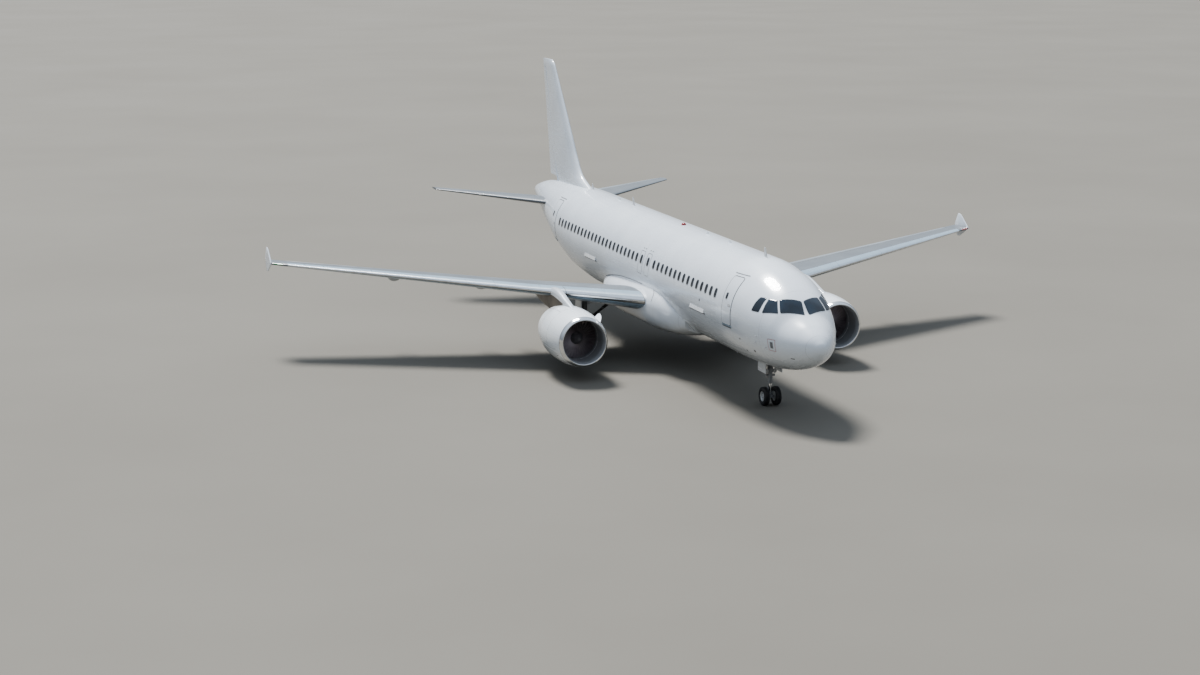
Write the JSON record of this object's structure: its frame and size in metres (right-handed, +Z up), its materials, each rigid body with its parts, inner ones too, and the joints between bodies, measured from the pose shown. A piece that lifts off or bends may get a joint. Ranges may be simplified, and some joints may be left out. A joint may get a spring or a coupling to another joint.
{
  "type": "single-aisle jet airliner",
  "caption": "Full-size twin-engined low-wing jet airliner with wing-tip fences, standing on its landing gear, with hinged cargo doors over two hollow holds.",
  "frame": {"origin": "on the ground under the middle of the length and width", "axes": "+Z up, nose towards -Y, +X to the port side"},
  "size_m": [34.1, 37.57, 11.76],
  "materials": {
    "white_paint": "gloss white paint",
    "wing_grey": "satin light blue-grey paint",
    "bare_silver": "gloss silver-grey paint",
    "core_metal": "heat-tinted bare metal",
    "fan_metal": "dark satin titanium",
    "cockpit_glass": "dark tinted glazing",
    "gear_paint": "satin grey paint",
    "tyre_rubber": "matt black rubber"
  },
  "bodies": {
    "airframe": {"radome": "white_paint", "tail_cone": "white_paint", "nose_fuselage": "white_paint", "front_fuselage": "white_paint", "rear_fuselage": "white_paint", "tail_fuselage": "white_paint", "belly_fairing": "white_paint", "passenger_door_front_left": "white_paint", "passenger_door_front_right": "white_paint", "passenger_door_rear_left": "white_paint", "passenger_door_rear_right": "white_paint", "fin": "white_paint", "nacelle_left": "white_paint", "nacelle_right": "white_paint", "wing_fence_left": "white_paint", "wing_fence_right": "white_paint", "nose_gear_door_left": "white_paint", "nose_gear_door_right": "white_paint", "main_leg_door_left": "white_paint", "main_leg_door_right": "white_paint", "wing_left": "wing_grey", "slat_inner_left": "wing_grey", "slat_outer_left": "wing_grey", "flap_inner_left": "wing_grey", "flap_outer_left": "wing_grey", "tailplane_left": "wing_grey", "wing_right": "wing_grey", "slat_inner_right": "wing_grey", "slat_outer_right": "wing_grey", "flap_inner_right": "wing_grey", "flap_outer_right": "wing_grey", "tailplane_right": "wing_grey", "pylon_left": "bare_silver", "pylon_right": "bare_silver", "engine_core_left": "core_metal", "engine_core_right": "core_metal", "cockpit_glazing": "cockpit_glass", "nose_leg": "gear_paint", "main_leg_left": "gear_paint", "main_leg_right": "gear_paint"},
    "rudder": {"rudder": "white_paint"},
    "elevator_left": {"elevator_left": "wing_grey"},
    "elevator_right": {"elevator_right": "wing_grey"},
    "aileron_left": {"aileron_left": "wing_grey"},
    "aileron_right": {"aileron_right": "wing_grey"},
    "cargo_door_front": {"cargo_door_front": "white_paint"},
    "cargo_door_rear": {"cargo_door_rear": "white_paint"},
    "fan_left": {"fan_left": "fan_metal"},
    "fan_right": {"fan_right": "fan_metal"},
    "nose_steering": {"nose_steering": "gear_paint"},
    "nose_wheels": {"nose_wheel_hubs": "gear_paint", "nose_tyre_left": "tyre_rubber", "nose_tyre_right": "tyre_rubber"},
    "main_wheels_left": {"main_wheel_hubs_left": "gear_paint", "main_tyre_inner_left": "tyre_rubber", "main_tyre_outer_left": "tyre_rubber"},
    "main_wheels_right": {"main_wheel_hubs_right": "gear_paint", "main_tyre_inner_right": "tyre_rubber", "main_tyre_outer_right": "tyre_rubber"}
  },
  "joints": [
    {"name": "rudder_hinge", "type": "hinge", "parent": "airframe", "child": "rudder", "pos_m": [0, 16.095, 8.625], "axis": [0, 0.3743, 0.9273], "range_deg": [-25, 25]},
    {"name": "elevator_left_hinge", "type": "hinge", "parent": "airframe", "child": "elevator_left", "pos_m": [3.69, 15.98511, 5.08761], "axis": [0.9472, 0.3066, 0.0943], "range_deg": [-17, 30]},
    {"name": "elevator_right_hinge", "type": "hinge", "parent": "airframe", "child": "elevator_right", "pos_m": [-3.69, 15.98511, 5.08761], "axis": [0.9472, -0.3066, -0.0943], "range_deg": [-17, 30]},
    {"name": "aileron_left_hinge", "type": "hinge", "parent": "airframe", "child": "aileron_left", "pos_m": [14.75, 2.97407, 3.8708], "axis": [0.9392, 0.3329, 0.0841], "range_deg": [-25, 25]},
    {"name": "aileron_right_hinge", "type": "hinge", "parent": "airframe", "child": "aileron_right", "pos_m": [-14.75, 2.97407, 3.8708], "axis": [0.9392, -0.3329, -0.0841], "range_deg": [-25, 25]},
    {"name": "cargo_door_front_hinge", "type": "hinge", "parent": "airframe", "child": "cargo_door_front", "pos_m": [-1.945, -10.565, 3.4], "axis": [0, 1, 0], "range_deg": [0, 120]},
    {"name": "cargo_door_rear_hinge", "type": "hinge", "parent": "airframe", "child": "cargo_door_rear", "pos_m": [-1.945, 3.715, 3.4], "axis": [0, 1, 0], "range_deg": [0, 120]},
    {"name": "fan_left_spin", "type": "hinge", "parent": "airframe", "child": "fan_left", "pos_m": [5.75, -6.245, 1.72], "axis": [0, 1, 0], "continuous": true},
    {"name": "fan_right_spin", "type": "hinge", "parent": "airframe", "child": "fan_right", "pos_m": [-5.75, -6.245, 1.72], "axis": [0, 1, 0], "continuous": true},
    {"name": "nose_gear_steering", "type": "hinge", "parent": "airframe", "child": "nose_steering", "pos_m": [0, -13.715, 0.9], "axis": [0, 0, 1], "range_deg": [-75, 75]},
    {"name": "nose_wheels_roll", "type": "hinge", "parent": "nose_steering", "child": "nose_wheels", "pos_m": [0, -13.715, 0.37774], "axis": [1, 0, 0], "continuous": true},
    {"name": "main_wheels_left_roll", "type": "hinge", "parent": "airframe", "child": "main_wheels_left", "pos_m": [3.795, -1.075, 0.56642], "axis": [1, 0, 0], "continuous": true},
    {"name": "main_wheels_right_roll", "type": "hinge", "parent": "airframe", "child": "main_wheels_right", "pos_m": [-3.795, -1.075, 0.56642], "axis": [1, 0, 0], "continuous": true}
  ]
}
